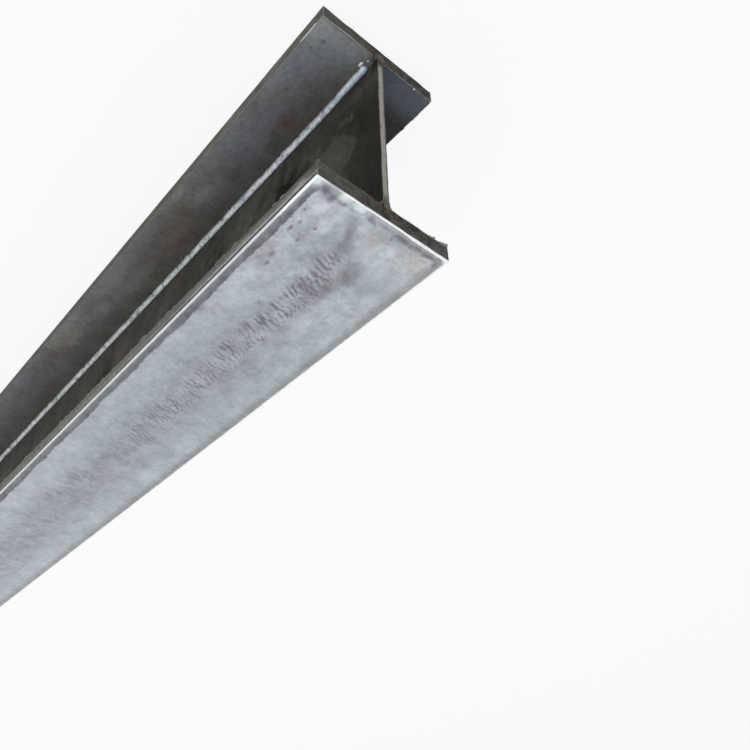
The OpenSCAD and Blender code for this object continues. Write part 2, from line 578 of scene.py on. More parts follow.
def outer_face(coat, place, colours):
    """Outer faces of the flanges: pale scuffed scale in a darker frame, with heat strokes over the web."""
    coat.look(0.5, 0.2, 0.4)
    quiet = place.from_end.step(0.1, 0.28) * 0.8
    by_end = (colours.outer_shade, colours.outer_pale, colours.outer_cool)
    tone, cloud = clouds(place.at, 19.0, *(coat.mix(quiet, near, colours.outer_far) for near in by_end))
    warmth = place.at.stretch((1.0, 1.0, 1.0), (2.1, 0.4, 0.0)).noise(21.0, 6.0, 0.66, 0.3)
    tone = tone.lay(colours.outer_warm, warmth.step(0.54, 0.7), 0.45)
    fray = place.at.swing(55.0, 6.0, 0.68) * 0.75
    tone = tone.daub(
        place.on_flange, fray,
        (colours.outer_bright, PALE_PATCHES, 0.0, 0.75), (colours.outer_shade, SHADE_PATCHES, 0.0, 0.7),
        (colours.outer_warm, WARM_PATCHES, 0.0, 0.92), (colours.outer_grime, GRIME_PATCHES, 0.0, 0.75),
    )
    # Painted shade: the outer face is darker within 3 to 7 cm of the web from about 20 cm in from each end.
    middle = place.from_web.step(0.07, 0.03)
    tone = tone.lay(colours.outer_shade, middle, place.from_end.step(0.2, 0.32), 0.75)
    strokes, grime, row = heat_marks(coat, place)
    tone = tone.lay(colours.outer_grime, grime, place.at.noise(48.0, 6.0, 0.7).step(0.32, 0.64), 0.85)
    tone = tone.lay(colours.outer_pale, row, 0.15)
    tone = tone.lay(colours.smudge, strokes, 0.8)
    frame_mask, depth, rim = worn_frame(coat, place)
    outside = coat.mix(place.from_end.step(0.04, 0.09), colours.margin_light, colours.margin_grey)
    tone = tone.lay(coat.mix(depth, outside, colours.margin_dark), frame_mask)
    hazy = (place.from_edge + fray * 0.006).step(0.021, 0.007)
    tone = tone.lay(colours.margin_olive, hazy, place.left_side, 0.7)
    aslant = place.y - place.from_near_end * STAIN_SLOPE
    tone = tone.daub((place.from_near_end, aslant), fray, (colours.stain, LONG_STAIN, 0.0, 0.75))
    tone = tone.daub(
        place.on_flange, fray,
        (colours.stain, GREY_STAINS, 0.0, 0.6), (colours.smudge, DARK_SMUDGES, 0.0, 0.75),
    )
    tone = tone.strew(colours.smudge, "Specks", place.at, 150.0, 0.4, 0.42)
    strands = place.at.drawn_out((0.0, 0.0, 1.25), 7.0).swing(150.0, 3.0)
    tone = tone.dim(1.0 + strands * warmth.step(0.46, 0.62) * 0.24)
    tone, grain = tone.wear(place.at, 150.0, 0.55)
    tone = tone.daub(place.on_flange, fray * 1.3, (colours.rubbed, BRIGHT_RUBS, 0.1, 0.92))
    gaps = spots(place.on_flange, RIM_GAPS, 0.2, fray)
    # The bright rim along the outer edges: rubbed steel with a painted highlight.
    tone = tone.lay(bright_steel_and_highlight(coat, place, colours), rim, 1.0 - gaps * 0.75)
    coat.feed(coat.shader["Roughness"], 0.46 + cloud * 0.12)
    coat.dress(tone, grain + cloud, 0.00016)


# Heat patches on the inner face, in millimetres: from the near end, across, half length, half width
RED_PATCHES = ((165, -38, 26, 24), (876, -74, 60, 20), (470, -36, 40, 16))
TAN_PATCHES = ((828, -84, 84, 40), (884, -88, 10, 30), (392, -94, 36, 9))
BLUE_PATCHES = ((640, -80, 110, 40), (720, -64, 60, 24), (350, -62, 60, 26), (606, -50, 70, 34))
INNER_PITS = ((29, -76, 7, 6), (46, -84, 4, 3), (118, -72, 6, 4))
OLIVE_PATCHES = ((206, -30, 30, 22), (290, -44, 40, 24))


def inner_face(coat, place, colours):
    """Inner faces of the flanges: blue-brown scale with painted shade beside the weld and on the left by the
    near end, and painted light on the right by the ends.
    """
    coat.look(0.5, 0.2, 0.22)
    drawn = place.at.stretch((0.7, 1.0, 1.0))
    tone, cloud = clouds(drawn, 26.0, colours.inner_brown, colours.inner_blue, colours.inner_blue)
    drift = drawn.swing(18.0) * 0.035
    # Painted shade: the inner face darkens towards the web, in the corner beside the weld.
    outwards = (place.from_web + drift).step(-0.005, 0.085)
    tone = coat.mix(outwards, colours.inner_dark, tone)
    fray = place.at.swing(45.0, 6.0, 0.68) * 0.7
    tone = tone.daub(
        place.on_flange, fray,
        (colours.inner_red, RED_PATCHES, 0.0, 0.85), (colours.inner_olive, OLIVE_PATCHES, 0.0, 0.6),
    )
    tone = tone.lay(colours.inner_brown, place.from_end.step(0.35, 0.6), 0.3)
    tone = tone.daub(
        place.on_flange, fray,
        (colours.inner_pale_and_painted_light, BLUE_PATCHES, 0.0, 0.38), (colours.inner_tan, TAN_PATCHES, 0.5, 0.7),
    )
    # Painted light: on the right side the inner face is paler within 7 cm of each end.
    bare = (place.from_end + drift).step(0.07, 0.0)
    tone = tone.lay(colours.inner_pale_and_painted_light, bare, place.right_side, 0.5 + outwards * 0.5, 0.88)
    # Painted shade: on the left side by the near end the inner face turns slate, and darkens to near black
    # from 2 cm to 6 cm in from the cut.
    shaded = place.left_side * place.from_near_end.step(0.34, 0.14)
    tone = tone.lay(colours.inner_painted_shade, shaded, 0.85)
    tone = tone.lay(colours.slag, place.from_end.step(0.02, 0.064), shaded, 0.5 + outwards * 0.45)
    tone = tone.lay(colours.inner_pale_and_painted_light, place.from_edge.step(0.03, 0.002), place.right_side, 0.25)
    tone = tone.lay(colours.arris_dull, place.from_end.step(0.006, 0.003), place.right_side, 0.5)
    tone = tone.daub(place.on_flange, fray, (colours.inner_dark, INNER_PITS, 0.0, 0.8))
    tone = tone.strew(colours.edge_light, "Streaks", place.at, 120.0, 0.2, 0.15)
    tone = tone.strew(colours.edge_light, "Scratches", place.at, 45.0, 0.2, 0.14)
    tone = tone.strew(colours.inner_dark, "Specks", place.at, 130.0, 0.45, 0.4)
    tone, grain = tone.wear(place.at, 130.0, 0.62)
    coat.dress(tone, grain + cloud, 0.00014)


# Marks on the web, in millimetres: from the near end, up, half length, half height
# Dark patches high on the web: the listed ones, and some of a row repeated every 20 cm from about 1 m past
# the near end.
WEB_DARK_PATCHES = ((200, 200, 66, 190), (398, 196, 49, 184), (792, 198, 55, 186))
WEB_DEEP_PATCH = ((208, 120, 44, 44),)
WEB_REPEATED_PATCH = ((0, 175, 40, 96),)
WEB_PATCH_PITCH = 0.2
WEB_SMUDGES = (
    (58, 96, 13, 16), (76, 92, 22, 12), (90, 108, 14, 18), (126, 96, 14, 12), (50, 60, 20, 18),
    (365, 86, 28, 14), (262, 100, 18, 14),
)
WEB_STAIN = ((94, 158, 48, 46),)
WEB_STAIN_HEART = ((97, 160, 46, 44),)
WEB_PITS = ((63, 86, 5, 6),)
WEB_RUST = ((722, 72, 60, 44), (520, 60, 40, 36))


def web_face(coat, place, colours):
    """Faces of the web: dark scale with soft smudges, a stain by the near end and dark patches, with painted
    shade by the ends.
    """
    coat.look(0.6, 0.0, 0.05)
    upright = place.at.stretch((1.0, 1.0, 0.6))
    tone, _ = clouds(upright, 24.0, colours.web_dark, colours.web_light, colours.web_dark)
    tone = tone.strew(colours.rust, "Rust bloom", upright, 19.0, 0.5, 0.25)
    fray = upright.swing(38.0, 5.0) * 0.8
    # Painted shade: the web is darker for the first 70 cm from each end, and near black within 10 cm of it
    # above 5 cm up.
    tone = tone.lay(colours.web_light, place.from_end.step(0.1, 0.7), 0.46)
    tone = tone.lay(colours.slag, place.from_end.step(0.1, 0.02), place.z.step(0.05, 0.14), 0.85)
    curl = place.at.swing(22.0, 3.0, 0.55) * 0.3
    stain = spots(place.on_web, WEB_STAIN, 0.86, curl)
    heart = spots(place.on_web, WEB_STAIN_HEART, 0.8, curl)
    tone = tone.lay(colours.web_light, stain, 0.42)
    tone = tone.lay(colours.web_light, 1.0 - heart, stain, 0.35)
    tone = tone.daub(
        place.on_web, fray, (colours.web_light, WEB_SMUDGES, 0.2, 0.6),
        (colours.slag, WEB_PITS, 0.2, 0.8), (colours.inner_red, WEB_RUST, 0.0, 0.3),
    )
    tone = tone.lay(colours.web_light, place.z.step(0.1, 0.05), place.from_end.step(0.02, 0.05), 0.22)
    thinned = 0.85 - place.z.step(0.1, 0.2) * 0.45
    tone = tone.daub(
        place.on_web, fray,
        (colours.slag, WEB_DARK_PATCHES, 0.2, thinned), (colours.slag, WEB_DEEP_PATCH, 0.3, 0.85),
    )
    lengthwise = place.at.stretch((1.0, 0.0, 0.0))
    turns = (place.from_near_end + lengthwise.swing(3.0) * 0.06) * (1.0 / WEB_PATCH_PITCH)
    off = (turns - coat.math("ROUND", turns)) * WEB_PATCH_PITCH
    repeated = spots((off, place.z), WEB_REPEATED_PATCH, 0.0, fray)
    beyond = place.from_near_end.step(0.9, 1.0) * place.from_end.step(0.1, 0.14)
    some = lengthwise.noise(2.6, 2.0).step(0.38, 0.66)
    tone = tone.lay(colours.slag, repeated, beyond, some, thinned)
    tone = tone.strew(colours.edge_mid, "Scratches", upright, 34.0, 0.3, 0.07)
    tone = tone.strew(colours.edge_mid, "Specks", place.at, 140.0, 0.3, 0.3)
    toe = (place.z - FLANGE_T).step(0.014, 0.009)
    tone = tone.lay(colours.bead_heat_tint_and_shade, toe, place.from_end.step(0.014, 0.03), 0.45)
    tone = tone.lay(colours.slag, place.from_end.step(0.02, 0.008), place.z.step(0.06, 0.035), 0.75)
    tone, grain = tone.wear(upright, 110.0, 0.75)
    coat.dress(tone, grain, 0.00014)


# Brightest stretches of the upper flange's long edge, in millimetres: from the near end, in, half sizes
EDGE_RUBS = ((38, 11, 30, 6), (92, 8, 16, 4), (140, 13, 18, 4))


def cut_edge(coat, place, colours):
    """Long edges of the flanges: drag streaks in bands between two arrises, browner on the lower flange."""
    coat.look(0.6, 0.1, 0.25)
    into = (place.from_outside + place.at.swing(40.0, 5.0, 0.66) * 0.0022) * (1.0 / FLANGE_T)
    upper = coat.ramp(
        into, (0.17, colours.edge_dark), (0.26, colours.edge_mid), (0.33, colours.arris_far),
        (0.39, colours.edge_light), (0.48, colours.edge_mid), (0.6, colours.edge_mid),
        (0.66, colours.arris_dull), (0.74, colours.edge_olive), (1.0, colours.edge_olive),
    )
    rubs = spots(place.on_edge, EDGE_RUBS, 0.0, place.at.swing(62.0, 6.0, 0.7) * 0.9)
    upper = upper.lay(colours.edge_light, rubs, into.step(0.17, 0.22), 0.75)
    upper = upper.lay(colours.edge_mid, place.from_end.step(0.12, 0.4), 0.75)
    lower, _ = clouds(place.at, 44.0, colours.edge_brown, colours.edge_tan, colours.edge_olive)
    lower = lower.strew(colours.rust, "Rust bloom", place.at, 30.0, 0.6, 0.65)
    lower = lower.lay(colours.edge_brown, place.from_end.step(0.2, 0.6), 0.6)
    tone = coat.mix(place.lower, upper, lower)
    tone = tone.lay(colours.end_dark, place.from_end.step(0.026, 0.004), into.step(0.26, 0.34), 0.6)
    tone, grain = tone.wear(place.at.stretch((0.7, 1.0, 1.0)), 220.0, 1.1)
    coat.dress(tone, grain, 0.0005)


# Burnt notches in the flange ends beside the web, in millimetres: across, up, half width, half height
END_NOTCHES = ((-6, 12, 4, 6), (-10, 20, 5, 4), (8, 21, 5, 4), (0, 16, 12, 9))


def cut_end(coat, place, colours):
    """Cut ends of the flanges: dark burnt steel with drag lines and rust near the web."""
    coat.look(0.65, 0.0, 0.15)
    patch = place.at.noise(80.0, 6.0, 0.7)
    tone = coat.mix(patch.step(0.4, 0.64), colours.end_dark, colours.end_light)
    tone = tone.lay(colours.edge_dark, (place.from_outside + patch * 0.003).step(0.0058, 0.0046), 0.5)
    tone = tone.lay(colours.end_light, place.y.step(0.0, -0.06), 0.6)
    tone = tone.lay(colours.end_blue, place.y.step(0.06, 0.085), place.upper, 0.55)
    tone = tone.strew(colours.rust, "Rust bloom", place.at, 60.0, 0.8, place.from_web.step(0.05, 0.004), 0.45)
    fray = place.at.swing(120.0, 5.0, 0.66) * 0.7
    tone = tone.daub(place.on_end, fray, (colours.slag, END_NOTCHES, 0.3, 0.9))
    tone, grain = tone.wear(place.at.stretch((1.0, 0.3, 1.0)), 260.0, 0.8)
    coat.dress(tone, grain + patch, 0.0005)


# Dark notches on the web's end strip, in millimetres: across, up, half width, half height
STRIP_NOTCHES = ((3, 146, 3, 4), (-3, 178, 2, 5), (2, 232, 2, 3), (-2, 92, 2, 5))


def web_end(coat, place, colours):
    """Cut ends of the web: a pale strip with painted shade on its sides, most on the left, stained at both
    flanges.
    """
    coat.look(0.55, 0.15)
    fray = place.at.swing(110.0, 5.0, 0.66)
    # Painted shade on the strip's rounded sides, set off towards the left so that the left one is darker.
    side = (abs(place.y + 0.0007) + fray * 0.0014).step(0.0022, 0.0042)
    tone = coat.mix(side * 0.85, colours.web_end, colours.web_dark)
    tone = tone.daub(place.on_end, fray, (colours.web_dark, STRIP_NOTCHES, 0.2, 0.7))
    level = place.z + fray * 0.006
    tone = tone.lay(colours.slag_olive, level.step(UPPER_INNER - 0.024, UPPER_INNER - 0.014), 0.8)
    tone = tone.lay(colours.slag, level.step(FLANGE_T + 0.02, FLANGE_T + 0.012), 0.9)
    tone = tone.strew(colours.rust, "Rust bloom", place.at, 55.0, 0.5, 0.3)
    tone, grain = tone.wear(place.at, 200.0, 0.5)
    coat.dress(tone, grain, 0.0003)


def bright_arris(coat, place, colours):
    """Outer edges of the upper flange: rubbed bright steel with a painted highlight."""
    coat.look(0.36, 0.6)
    breaks = place.at.stretch((0.5, 1.0, 1.0)).noise(70.0, 5.0, 0.6)
    tone = bright_steel_and_highlight(coat, place, colours).lay(colours.outer_shade, breaks.step(0.54, 0.7), 0.5)
    tone = tone.daub(place.on_flange, 0.0, (colours.outer_shade, RIM_GAPS, 0.2, 0.7))
    coat.dress(tone, breaks, 0.0002)


def dull_arris(coat, place, colours):
    """Other edges of the flanges, rubbed bright only in places near the end, with a painted highlight on the
    lower flange's edges there.
    """
    coat.look(0.45, 0.3)
    breaks = place.at.stretch((0.35, 1.0, 1.0)).noise(55.0, 5.0, 0.62)
    tone = coat.mix(breaks.step(0.3, 0.55), colours.edge_olive, colours.arris_dull)
    by_end = place.from_end.step(0.004, 0.001) * place.from_edge.step(0.001, 0.004)
    tone = tone.lay(colours.edge_light, by_end, place.y.step(-0.01, -0.06), 0.75)
    burr = place.y.step(0.055, 0.065) * place.from_end.step(0.008, 0.004) * place.upper
    tone = tone.lay(colours.edge_light, burr, breaks.step(0.3, 0.5), 0.85)
    # Bright dashes along the lower flange's edges from 4 mm to 6 cm from each end: rubbed steel with a
    # painted highlight.
    stretch = place.from_end.step(0.004, 0.02) * place.from_end.step(0.06, 0.044)
    close = stretch * place.from_edge.step(0.006, 0.002) * place.lower
    tone = tone.lay(colours.arris, (breaks + close * 0.3).step(0.62, 0.76), 0.85)
    coat.dress(tone, breaks, 0.0002)


# Attributes of a bead: how deep in a groove a point lies, and how near the toe on the web
GROOVE = "ripple_groove"
TOE = "web_toe"


def weld_bead(coat, place, colours):
    """Weld beads: bright ripples with darker grooves, and painted shade towards the web that is partly a blue
    heat tint.
    """
    coat.look(0.34, 0.4)
    groove, toe = (coat.get("Fac", "ShaderNodeAttribute", attribute_name=name) for name in (GROOVE, TOE))
    tint = place.at.stretch((1.0, 0.2, 0.2)).noise(30.0, 5.0, 0.65)
    tone = coat.mix(tint.step(0.36, 0.48), colours.bead_violet, colours.bead)
    tone = tone.lay(colours.bead_green, tint.step(0.5, 0.64), 0.9)
    tone = tone.lay(colours.bead_cream, place.from_end.step(0.2, 0.45), 0.5)
    grime = place.at.noise(150.0, 5.0, 0.66)
    rough = place.from_end.step(0.05, 0.1)
    flecks = grime.step(0.48, 0.64) * (0.15 + rough * 0.5)
    tone = tone.lay(colours.bead_shade, coat.math("MINIMUM", groove * 0.45 + flecks, 1.0))
    dabs = place.at.stretch((0.9, 1.0, 1.0)).noise(74.0, 4.0, 0.6)
    tone = tone.lay(colours.bead_shade, dabs.step(0.56, 0.66), rough, 0.85)
    tone = tone.lay(colours.arris, dabs.step(0.46, 0.36), rough, 0.85)
    ticks = groove.step(0.3, 0.75) * toe.step(0.8, 0.35)
    tone = tone.lay(colours.bead_shade, ticks, rough, 0.8)
    # Painted shade on the side of the bead towards the web, reaching further round and bluer near the ends;
    # at the web toe it is partly a blue heat tint.
    by_end = place.from_end.step(0.11, 0.06)
    ragged = toe + place.at.swing(130.0) * 0.16
    shadow = ragged + by_end * 0.16
    shade = coat.mix(by_end, colours.bead_shade, colours.bead_start_painted_shade)
    tone = tone.lay(shade, shadow.step(0.5, 0.95), 0.75)
    tone = tone.lay(colours.bead_heat_tint_and_shade, shadow.step(0.86, 1.02), 0.9)
    tone = tone.lay(colours.slag, ragged.step(0.1, 0.0), 0.6)
    coat.dress(tone, grime, 0.0002)


def spatter_bead(coat, place, colours):
    """Drops of weld spatter, bright on top."""
    coat.look(0.4, 0.3)
    grime = place.at.noise(240.0, 3.0)
    coat.dress(coat.mix(grime.step(0.5, 0.75) * 0.8, colours.spatter, colours.bead_shade))


def burnt_slag(coat, place, colours):
    """Burnt lumps at the ends of the welds: brown at the web's foot and olive under the upper flange."""
    coat.look(0.66, 0.1)
    patch = place.at.noise(130.0, 6.0, 0.68)
    rubbed = coat.mix(place.lower, colours.slag_olive, colours.slag_brown)
    tone = coat.mix(patch.step(0.34, 0.54), colours.slag, rubbed)
    tone = tone.strew(colours.rust, "Rust bloom", place.at, 90.0, 0.6, 0.35)
    coat.dress(tone, patch, 0.0008)


def finish(paint):
    """The material that a finish paints, made once."""
    made = bpy.data.materials.get(paint.__name__)
    if made is None:
        coat = Coat(paint.__name__)
        paint(coat, Place(coat), bpy.context.scene.h_beam_colours)
        made = coat.material
    return made


def place_piece(name, bm, finishes, slot, *nodes):
    """Turns a finished bmesh into a piece of the beam, which stands for the CAD nodes named."""
    bmesh.ops.recalc_face_normals(bm, faces=bm.faces)
    mesh = bpy.data.meshes.new(name)
    bm.to_mesh(mesh)
    bm.free()
    mesh.shade_smooth()
    piece = bpy.data.objects.new(name, mesh)
    bpy.context.collection.objects.link(piece)
    for paint in finishes:
        mesh.materials.append(finish(paint))
    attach(piece, "root")
    if nodes:
        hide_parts(*nodes)
    return piece


def keep_flats_flat(piece):
    """Weights the normals by area, so that only the rounded edges look rounded."""
    modifier = piece.modifiers.new("flat_faces", "WEIGHTED_NORMAL")
    modifier.keep_sharp = False


def plate_block(low, high, cuts):
    """A box between two corners, cut into that many stations along each axis."""
    bm = bmesh.new()
    size = high - low
    place = Matrix.Translation((low + high) / 2) @ Matrix.Diagonal((*size, 1.0))
    bmesh.ops.create_cube(bm, size=1.0, matrix=place)
    for axis, count in enumerate(cuts):
        runs = [e for e in bm.edges if abs(e.verts[0].co[axis] - e.verts[1].co[axis]) > size[axis] / 2]
        if count:
            bmesh.ops.subdivide_edges(bm, edges=runs, cuts=count, use_grid_fill=True)
    return bm


def crowd_stations(bm, power):
    """Moves the stations along the beam towards its two ends, where the cut shows."""
    for vert in bm.verts:
        share = 1.0 - abs(vert.co.x) / HALF_LENGTH
        vert.co.x = math.copysign(HALF_LENGTH * (1.0 - share ** power), vert.co.x)


ROUNDING_STEPS = 3
# Least angle at which two faces count as meeting square, in radians
SQUARE = 1.0


def square_edges(bm):
    """Edges between two faces that meet square."""
    return [e for e in bm.edges if len(e.link_faces) == 2 and e.calc_face_angle() > SQUARE]


def round_edges(bm, edges, radius):
    """Rounds edges to a radius in a few steps."""
    bmesh.ops.bevel(
        bm, geom=edges, offset=radius, segments=ROUNDING_STEPS, profile=0.5, affect="EDGES",
        clamp_overlap=True, material=-1,
    )


# How far apart the patterns of two seeds lie
SEED_STRIDES = (7.31, 3.77, 5.13)


def wavy(seed, *place):
    """Smooth noise from -1 to 1 at a place, in a pattern of its own for each seed."""
    return noise.noise(Vector(place) + Vector(seed * stride for stride in SEED_STRIDES))


FLANGE_FINISHES = (outer_face, inner_face, cut_edge, cut_end, bright_arris, dull_arris)
# Cuts along, across and through a flange, and how closely those along it crowd to the ends
FLANGE_STATIONS = (299, 60, 5)
STATION_CROWDING = 1.3
# Shares of a face's normal: straight at an axis, at least partly up, and at least partly along the beam
FACING = 0.98
UPWARD = 0.2
ENDWAYS = 0.3
# Each flange's node, the way its outer face looks and its seed
FLANGES = (("bottom_flange", -1, 1.0), ("top_flange", 1, 2.0))
# Reach of the wear in arris radii, and of the burr in burr sizes
WEAR_REACH = 1.2
BURR_REACH = 2.2
# Waves of the wear, per metre
EDGE_WAVES, EDGE_THROUGH_WAVES = 22.0, 60.0
CUT_WAVES, CUT_THROUGH_WAVES = 70.0, 50.0
DROSS_WAVES, BURR_WAVES = 45.0, 300.0
# How far the dross hangs at the middle of a wave, and the share of the burr that is even
DROSS_MIDDLE = 0.2
BURR_EVEN = 0.7
# The way that the cut of the knocked-off corner faces
CHIP_FACING = (-0.45, 0.6, 0.7)


def paint_flange(bm, outward):
    """Gives each face of a flange its finish by the way it faces."""
    for face in bm.faces:
        normal = face.normal
        if abs(normal.z) > FACING:
            wanted = outer_face if normal.z * outward > 0 else inner_face
        elif abs(normal.y) > FACING:
            wanted = cut_edge
        elif abs(normal.x) > FACING:
            wanted = cut_end
        else:
            wanted = bright_arris if outward > 0 and normal.z > UPWARD else dull_arris
        face.material_index = FLANGE_FINISHES.index(wanted)


def wear_flange(bm, outward, sizes, seed):
    """Wears a flange plate: wandering arrises, uneven cut ends with dross, and a burr at one corner."""
    rim = sizes.arris * WEAR_REACH
    inner = UPPER_INNER if outward > 0 else FLANGE_T
    burr_corner = Vector((NEAR_END, HALF_WIDTH, inner))
    for vert in bm.verts:
        x, y, z = vert.co
        if HALF_WIDTH - abs(y) < rim:
            bite = 0.5 + 0.5 * wavy(seed, x * EDGE_WAVES, math.copysign(1.0, y), z * EDGE_THROUGH_WAVES)
            vert.co.y -= math.copysign(bite * sizes.arris_wander, y)
        if HALF_LENGTH - abs(x) < rim:
            drift = wavy(seed + 1, math.copysign(2.0, x), y * CUT_WAVES, z * CUT_THROUGH_WAVES)
            vert.co.x += drift * sizes.cut_wander
            if abs(z - inner) < rim:
                hang = max(0.0, wavy(seed + 2, math.copysign(3.0, x), y * DROSS_WAVES, 0.0) + DROSS_MIDDLE)
                vert.co.z -= outward * hang * sizes.dross
        if outward > 0:
            place = Vector((x, y, z))
            near = 1.0 - (place - burr_corner).length / (BURR_REACH * sizes.burr)
            uneven = BURR_EVEN + (1.0 - BURR_EVEN) * wavy(seed, *(place * BURR_WAVES))
            vert.co.z -= sizes.burr * max(0.0, near) * uneven


def knock_off_corner(bm, corner, outward, size):
    """Cuts a small corner off a block, square to the way given, and closes the cut."""
    normal = outward.normalized()
    geometry = bm.verts[:] + bm.edges[:] + bm.faces[:]
    cut = bmesh.ops.bisect_plane(
        bm, geom=geometry, plane_co=corner - normal * size, plane_no=normal, clear_outer=True,
    )
    rim = [item for item in cut["geom_cut"] if isinstance(item, bmesh.types.BMEdge)]
    bmesh.ops.holes_fill(bm, edges=rim, sides=0)


class HBEAM_OT_flange_plates(bpy.types.Operator):
    """Build both flange plates with worn arrises and cut ends"""

    bl_idname = "hbeam.flange_plates"
    bl_label = "Flange plates"

    def execute(self, context):
        sizes = context.scene.h_beam_sizes
        for name, outward, seed in FLANGES:
            low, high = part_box(name)
            bm = plate_block(low, high, FLANGE_STATIONS)
            crowd_stations(bm, STATION_CROWDING)
            if outward > 0:
                worn = [e for e in square_edges(bm) if all(v.co.z > high.z - MM for v in e.verts)]
                round_edges(bm, worn, sizes.arris)
            round_edges(bm, square_edges(bm), sizes.sharp_arris)
            paint_flange(bm, outward)
            wear_flange(bm, outward, sizes, seed)
            if outward < 0:
                corner = Vector((NEAR_END, HALF_WIDTH, FLANGE_T))
                knock_off_corner(bm, corner, Vector(CHIP_FACING), sizes.chip)
            piece = place_piece(name + "_plate", bm, FLANGE_FINISHES, PLATE_SLOT, name)
            keep_flats_flat(piece)
        return {"FINISHED"}


WEB_FINISHES = (web_face, web_end)
# Cuts along, through and up the web
WEB_STATIONS = (119, 2, 30)
WEB_SEED = 5.0
# Waves of the web's cut ends, per metre: through the plate and up it, and up its sides
WEB_THROUGH_WAVES, WEB_CUT_WAVES, WEB_SIDE_WAVES = 60.0, 40.0, 55.0


class HBEAM_OT_web_plate(bpy.types.Operator):
    """Build the web plate with its pale cut ends"""

    bl_idname = "hbeam.web_plate"
    bl_label = "Web plate"

    def execute(self, context):
        sizes = context.scene.h_beam_sizes
        low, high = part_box("web_plate")
        bm = plate_block(low, high, WEB_STATIONS)
        crowd_stations(bm, STATION_CROWDING)
        round_edges(bm, square_edges(bm), sizes.web_arris)
        for face in bm.faces:
            wanted = web_end if abs(face.normal.x) > ENDWAYS else web_face
            face.material_index = WEB_FINISHES.index(wanted)
        for vert in bm.verts:
            x, y, z = vert.co
            if HALF_LENGTH - abs(x) < sizes.web_arris * WEAR_REACH:
                end = math.copysign(1.0, x)
                out = wavy(WEB_SEED, end, y * WEB_THROUGH_WAVES, z * WEB_CUT_WAVES)
                aside = wavy(WEB_SEED + 1.0, end, math.copysign(1.0, y), z * WEB_SIDE_WAVES)
                vert.co.x += out * sizes.cut_wander
                vert.co.y += aside * sizes.cut_wander
        piece = place_piece("web_plate_dressed", bm, WEB_FINISHES, PLATE_SLOT, "web_plate")
        keep_flats_flat(piece)
        return {"FINISHED"}


BEAD_STATIONS_PER_RIPPLE = 5
BEAD_FACE_STEPS = 7
BEAD_RIPPLE_BOW = 0.35
BEAD_SEED, BEAD_SEED_STEP = 11.0, 3.0
# Waves of a bead, per metre: of its toes, of its ripple pitch and of its scallops
TOE_WAVES, PITCH_WAVES, SCALLOP_WAVES = 30.0, 14.0, 70.0
# Share of the leg left at a bead's tip, and stray of the ripples in pitches
TIP_SHARE = 0.25
PITCH_STRAY = 0.8
# Step from one ripple to the next in the pattern of depths, and height of a wave where a scallop starts
RIPPLE_STEP = 0.73
SCALLOP_START = 0.1
# Depth of a ripple: middle, spread from one to the next, least, and share at a bead's start
RIPPLE_MIDDLE, RIPPLE_SPREAD, RIPPLE_LEAST, RIPPLE_START = 0.5, 1.2, 0.15, 0.2


def bead_point(along, share, sizes, seed):
    """Place on a bead's skin: out from the web, up from the flange, and how deep in a groove it lies.

    share runs from 0 at the toe on the flange over the face to 1 at the toe on the web.
    """
    from_end = BEAD_HALF_LENGTH - abs(along)
    taper = math.sqrt(max(0.0, 1.0 - max(0.0, 1.0 - from_end / sizes.bead_nose) ** 2))
    leg = BEAD_LEG + sizes.bead_wander * wavy(seed, along * TOE_WAVES, share, 0.0)
    leg *= TIP_SHARE + (1.0 - TIP_SHARE) * taper
    arch = math.sin(math.pi * share)
    stray = PITCH_STRAY * wavy(seed + 1, along * PITCH_WAVES, 0.0, 0.0)
    phase = along / sizes.ripple_pitch + stray - BEAD_RIPPLE_BOW * arch
    groove = 1.0 - math.sqrt(abs(math.sin(math.pi * phase)))
    uneven = RIPPLE_SPREAD * wavy(seed + 3, math.floor(phase) * RIPPLE_STEP, 0.0, 0.0)
    depth = max(RIPPLE_LEAST, RIPPLE_MIDDLE + uneven)
    depth *= min(1.0, RIPPLE_START + from_end / sizes.bead_smooth)
    dent = max(0.0, wavy(seed + 4, along * SCALLOP_WAVES, 0.0, 0.0) - SCALLOP_START)
    leg -= dent * sizes.bead_scallop * (1.0 - share) ** 2
    crown = sizes.bead_crown - sizes.ripple_height * groove * depth
    lift = crown * arch * taper / math.sqrt(2.0)
    foot = leg + sizes.bead_swell * taper * max(0.0, 1.0 - from_end / sizes.bead_smooth)
    head = leg + sizes.bead_reach * taper
    return foot * (1.0 - share) + lift, head * share + lift, groove * min(1.0, depth)


def bead_skin(sizes, seed):
    """A closed bead along X with its root on the X axis and its legs on +Y and +Z."""
    bm = bmesh.new()
    around = BEAD_FACE_STEPS + 2
    ripples = round(2 * BEAD_HALF_LENGTH / sizes.ripple_pitch)
    stations = ripples * BEAD_STATIONS_PER_RIPPLE
    bmesh.ops.create_grid(bm, x_segments=stations, y_segments=around, size=0.5)
    groove = bm.verts.layers.float.new(GROOVE)
    toe = bm.verts.layers.float.new(TOE)
    for vert in bm.verts:
        along = vert.co.x * 2 * BEAD_HALF_LENGTH
        step = round((vert.co.y + 0.5) * around)
        if step in (0, around):
            vert.co = (along, 0.0, 0.0)
            continue
        share = (step - 1) / BEAD_FACE_STEPS
        out, up, depth = bead_point(along, share, sizes, seed)
        vert.co = (along, out, up)
        vert[groove] = depth
        vert[toe] = share
    bmesh.ops.remove_doubles(bm, verts=bm.verts, dist=1e-6)
    rims = [edge for edge in bm.edges if edge.is_boundary]
    bmesh.ops.holes_fill(bm, edges=rims, sides=0)
    return bm


# Each bead's side of the web and whether it is an upper one
BEADS = {
    "weld_bottom_left": (1, False), "weld_bottom_right": (-1, False),
    "weld_top_left": (1, True), "weld_top_right": (-1, True),
}


